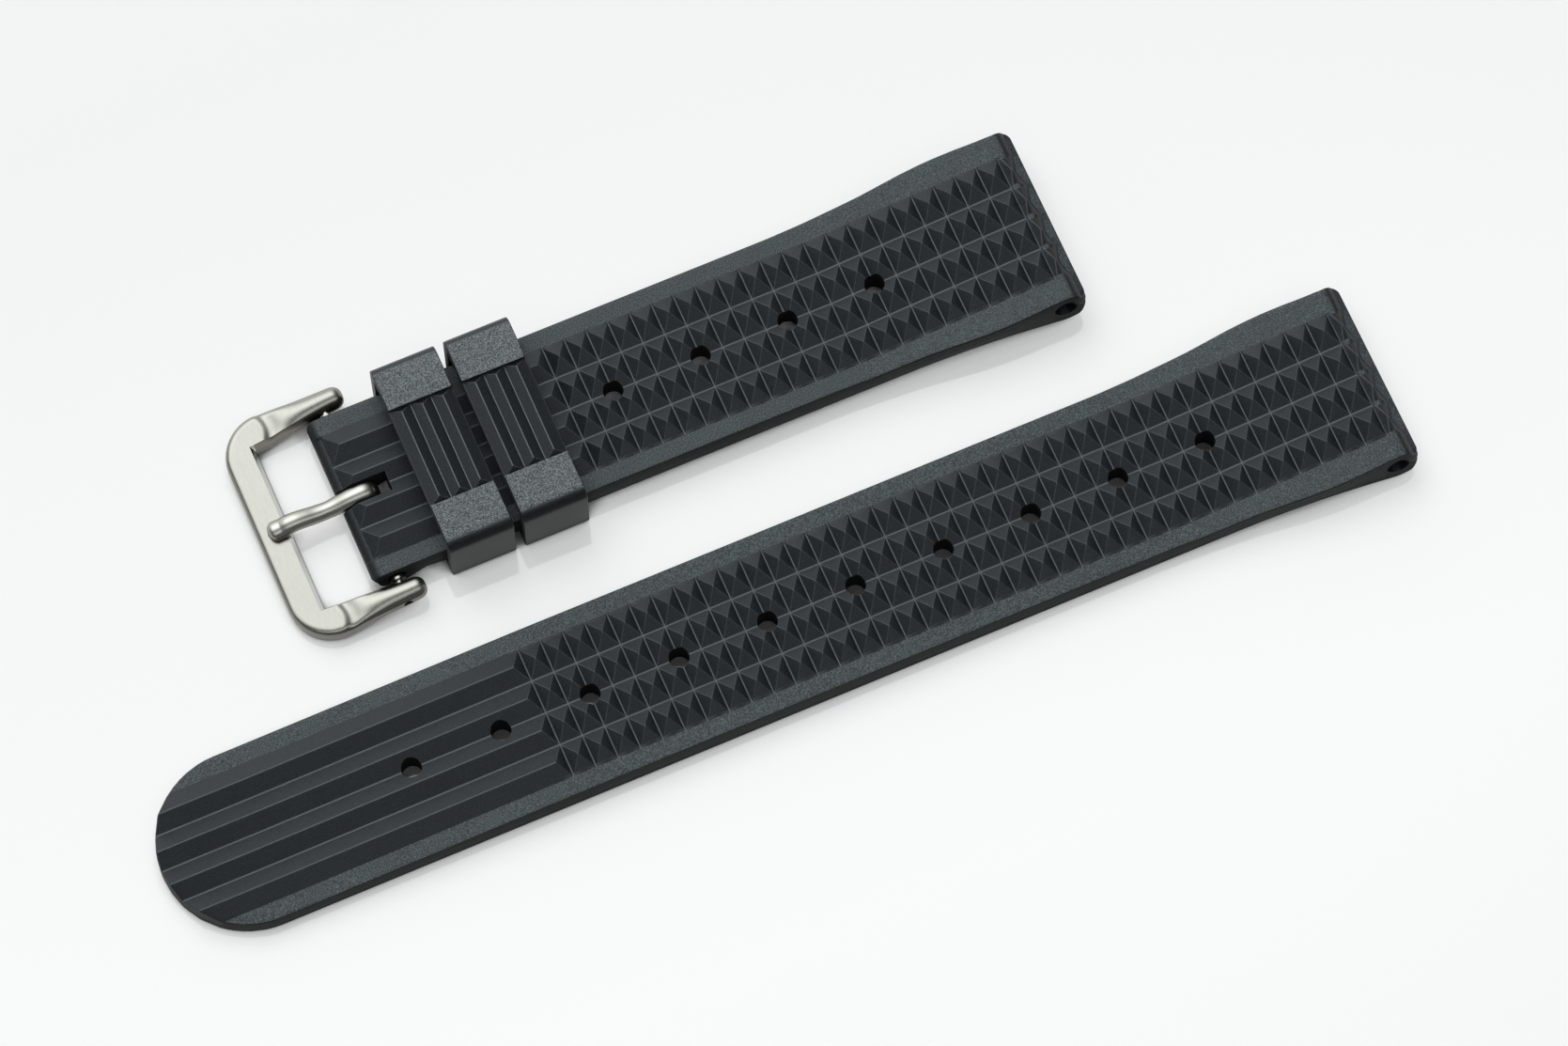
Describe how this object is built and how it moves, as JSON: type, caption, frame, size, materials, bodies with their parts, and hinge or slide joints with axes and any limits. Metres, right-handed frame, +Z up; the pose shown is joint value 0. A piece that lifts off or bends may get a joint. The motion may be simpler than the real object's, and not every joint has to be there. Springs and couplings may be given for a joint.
{
  "type": "rubber watch strap",
  "caption": "Rubber dive strap in a long and a short half, with a raised pyramid pattern, adjustment holes, sliding keepers and a steel pin buckle on a spring bar.",
  "frame": {"origin": "middle of the laid-out pair on the surface that it lies on", "axes": "+X along both straps towards the lug ends, +Y from the long strap to the short strap, +Z up out of the patterned face"},
  "size_m": [0.1278, 0.0498, 0.0074],
  "materials": {
    "rubber": "matte, fine grain",
    "steel": "brushed",
    "spring_bar": "turned, bright"
  },
  "bodies": {
    "short_strap": {"short_strap": "rubber", "spring_bar_tube": "spring_bar", "spring_bar_spring": "spring_bar"},
    "long_strap": {"long_strap": "rubber"},
    "buckle_frame": {"buckle_frame": "steel"},
    "buckle_tongue": {"buckle_tongue": "steel"},
    "far_plunger": {"spring_bar_far_plunger": "spring_bar"},
    "near_plunger": {"spring_bar_near_plunger": "spring_bar"},
    "front_keeper": {"front_keeper": "rubber"},
    "rear_keeper": {"rear_keeper": "rubber"}
  },
  "joints": [
    {"name": "frame_hinge", "type": "hinge", "parent": "short_strap", "child": "buckle_frame", "pos_m": [-0.032, 0.0127, 0.002], "axis": [0, 1, 0], "range_deg": [-90, 40]},
    {"name": "tongue_hinge", "type": "hinge", "parent": "buckle_frame", "child": "buckle_tongue", "pos_m": [-0.032, 0.0127, 0.002], "axis": [0, 1, 0], "range_deg": [0, 60]},
    {"name": "far_plunger_slide", "type": "slide", "parent": "short_strap", "child": "far_plunger", "axis": [0, -1, 0], "range_m": [0, 0.00125], "stiffness_N_per_m": 800, "springref_m": -0.0005, "deforming": ["spring_bar_spring"]},
    {"name": "near_plunger_slide", "type": "slide", "parent": "short_strap", "child": "near_plunger", "axis": [0, 1, 0], "range_m": [0, 0.00125], "stiffness_N_per_m": 800, "springref_m": -0.0005, "deforming": ["spring_bar_spring"]},
    {"name": "front_keeper_slide", "type": "slide", "parent": "short_strap", "child": "front_keeper", "axis": [1, 0, 0], "range_m": [-0.001, 0.015]},
    {"name": "rear_keeper_slide", "type": "slide", "parent": "front_keeper", "child": "rear_keeper", "axis": [1, 0, 0], "range_m": [-0.0009, 0.015]},
    {"name": "long_strap_slide", "type": "slide", "parent": "short_strap", "child": "long_strap", "axis": [0, -1, 0], "range_m": [0, 0.03]}
  ]
}
